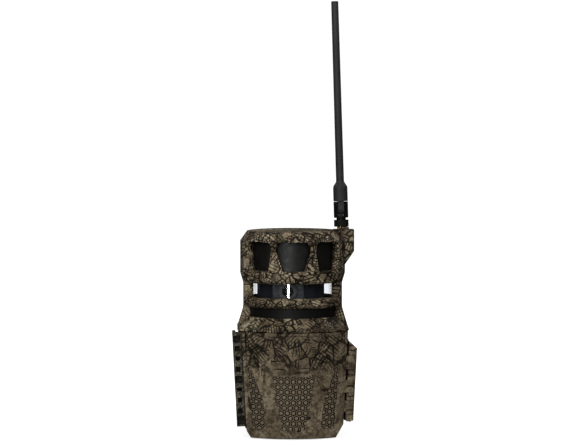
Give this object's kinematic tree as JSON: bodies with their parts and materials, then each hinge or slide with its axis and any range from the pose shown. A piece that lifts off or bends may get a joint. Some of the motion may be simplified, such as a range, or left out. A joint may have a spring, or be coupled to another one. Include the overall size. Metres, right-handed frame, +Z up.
{
  "type": "trail camera",
  "caption": "Cellular trail camera with a turning lens turret in an all-round window, infrared windows above, a latched hinged door and a folding whip antenna.",
  "frame": {"origin": "mouth of the tripod socket in the bottom plane, straight under the turret axis", "axes": "+Z up along the turret axis, the front looks along -Y, +X towards the antenna side"},
  "size_m": [0.1058, 0.0998, 0.3684],
  "materials": {
    "camo_shell": "matte moulded plastic with an engraved bark camouflage",
    "camo_latch": "matte moulded plastic",
    "seal_rubber": "matte",
    "steel": "satin",
    "ir_window": "dark infrared-pass plastic, satin",
    "black_plastic": "matte",
    "circuit_board": "solder mask",
    "led_epoxy": "clear tinted epoxy",
    "clear_window": "clear polycarbonate",
    "pir_lens": "dark moulded Fresnel lens strip",
    "gear_plastic": "acetal",
    "brass": "machined",
    "turret_plastic": "satin dark grey",
    "lens_glass": "coated glass",
    "filter_glass": "infrared-cut glass",
    "antenna_collar": "knurled",
    "antenna_plastic": "satin",
    "antenna_rubber": "matte moulded rubber",
    "lead_jacket": "smooth",
    "battery_wrap": "printed foil",
    "panel_plastic": "fine grain",
    "screen_glass": "gloss",
    "button_rubber": "matte",
    "card_plastic": "smooth",
    "bracket_plastic": "textured"
  },
  "bodies": {
    "housing": {"antenna_lead": "lead_jacket", "batteries": "battery_wrap", "battery_contacts": "steel", "battery_tray": "black_plastic", "bearing_balls": "steel", "bearing_inner": "steel", "board_pillars": "black_plastic", "bracket_screws": "steel", "cage_screws": "steel", "card_socket": "steel", "cellular_module": "steel", "clear_window": "clear_window", "control_board": "circuit_board", "control_panel": "panel_plastic", "deck_screws": "steel", "door_gasket": "seal_rubber", "hinge_pin": "steel", "ir_leds": "led_epoxy", "ir_window_ring": "ir_window", "latch_pin": "steel", "lcd_screen": "screen_glass", "led_board": "circuit_board", "led_deck": "black_plastic", "lid_seal": "seal_rubber", "main_board": "circuit_board", "motor_screws": "steel", "pir_band": "pir_lens", "pir_board": "circuit_board", "pir_sensors": "steel", "rear_housing": "camo_shell", "sma_jack": "brass", "stepper_motor": "steel", "top_lid": "camo_shell", "tree_bracket": "bracket_plastic", "tripod_insert": "brass", "turret_deck": "black_plastic", "upper_cage": "camo_shell", "window_seals": "seal_rubber"},
    "door": {"front_door": "camo_shell"},
    "latch": {"latch_lever": "camo_latch"},
    "turret": {"turret_carrier": "turret_plastic", "turret_cap": "turret_plastic", "turret_gear": "gear_plastic", "bearing_outer": "steel", "lens_barrel": "black_plastic", "lens_glass": "lens_glass", "lens_retainer": "black_plastic", "image_sensor_board": "circuit_board"},
    "ir_filter": {"ir_cut_filter": "filter_glass"},
    "pinion": {"motor_pinion": "brass", "motor_shaft": "steel"},
    "collar": {"antenna_collar": "antenna_collar"},
    "antenna_lower": {"antenna_base": "antenna_plastic", "antenna_pin": "steel"},
    "antenna_upper": {"antenna_whip": "antenna_rubber"},
    "button_up": {"button_up": "button_rubber"},
    "button_ok": {"button_ok": "button_rubber"},
    "button_down": {"button_down": "button_rubber"},
    "power_switch": {"power_switch": "button_rubber"},
    "card": {"sd_card": "card_plastic"}
  },
  "joints": [
    {"name": "door_hinge", "type": "hinge", "parent": "housing", "child": "door", "pos_m": [0.04635, -0.02, 0], "axis": [0.0518, 0, 0.9987], "range_deg": [0, 110]},
    {"name": "latch_pivot", "type": "hinge", "parent": "housing", "child": "latch", "pos_m": [-0.0446, 0, -0.00014], "axis": [0.0518, 0, -0.9987], "range_deg": [0, 100]},
    {"name": "turret_turn", "type": "hinge", "parent": "housing", "child": "turret", "pos_m": [0, 0, 0.12], "axis": [0, 0, 1], "range_deg": [-180, 180]},
    {"name": "pinion_turn", "type": "hinge", "parent": "housing", "child": "pinion", "pos_m": [0, 0.0208, 0.1], "axis": [0, 0, 1], "range_deg": [-600, 600]},
    {"name": "filter_slide", "type": "slide", "parent": "turret", "child": "ir_filter", "axis": [-0.9877, 0.1564, 0], "range_m": [0, 0.009]},
    {"name": "collar_turn", "type": "hinge", "parent": "housing", "child": "collar", "pos_m": [0.0416, 0, 0.1747], "axis": [-0.0305, 0, 0.9995], "continuous": true},
    {"name": "antenna_swivel", "type": "hinge", "parent": "housing", "child": "antenna_lower", "pos_m": [0.0416, 0, 0.1747], "axis": [-0.0305, 0, 0.9995], "continuous": true},
    {"name": "antenna_fold", "type": "hinge", "parent": "antenna_lower", "child": "antenna_upper", "pos_m": [0.04106, 0, 0.19229], "axis": [0.9995, 0, 0.0305], "range_deg": [0, 90]},
    {"name": "press_up", "type": "slide", "parent": "housing", "child": "button_up", "axis": [0, 1, 0], "range_m": [0, 0.0008], "stiffness_N_per_m": 400, "springref_m": -0.0008},
    {"name": "press_ok", "type": "slide", "parent": "housing", "child": "button_ok", "axis": [0, 1, 0], "range_m": [0, 0.0008], "stiffness_N_per_m": 400, "springref_m": -0.0008},
    {"name": "press_down", "type": "slide", "parent": "housing", "child": "button_down", "axis": [0, 1, 0], "range_m": [0, 0.0008], "stiffness_N_per_m": 400, "springref_m": -0.0008},
    {"name": "power_slide", "type": "slide", "parent": "housing", "child": "power_switch", "axis": [1, 0, 0], "range_m": [0, 0.005]},
    {"name": "card_slide", "type": "slide", "parent": "housing", "child": "card", "axis": [0, -1, 0], "range_m": [-0.0012, 0.004]}
  ],
  "couplings": [
    {"joint": "pinion_turn", "follows": "turret_turn", "ratio": -3.3333}
  ]
}
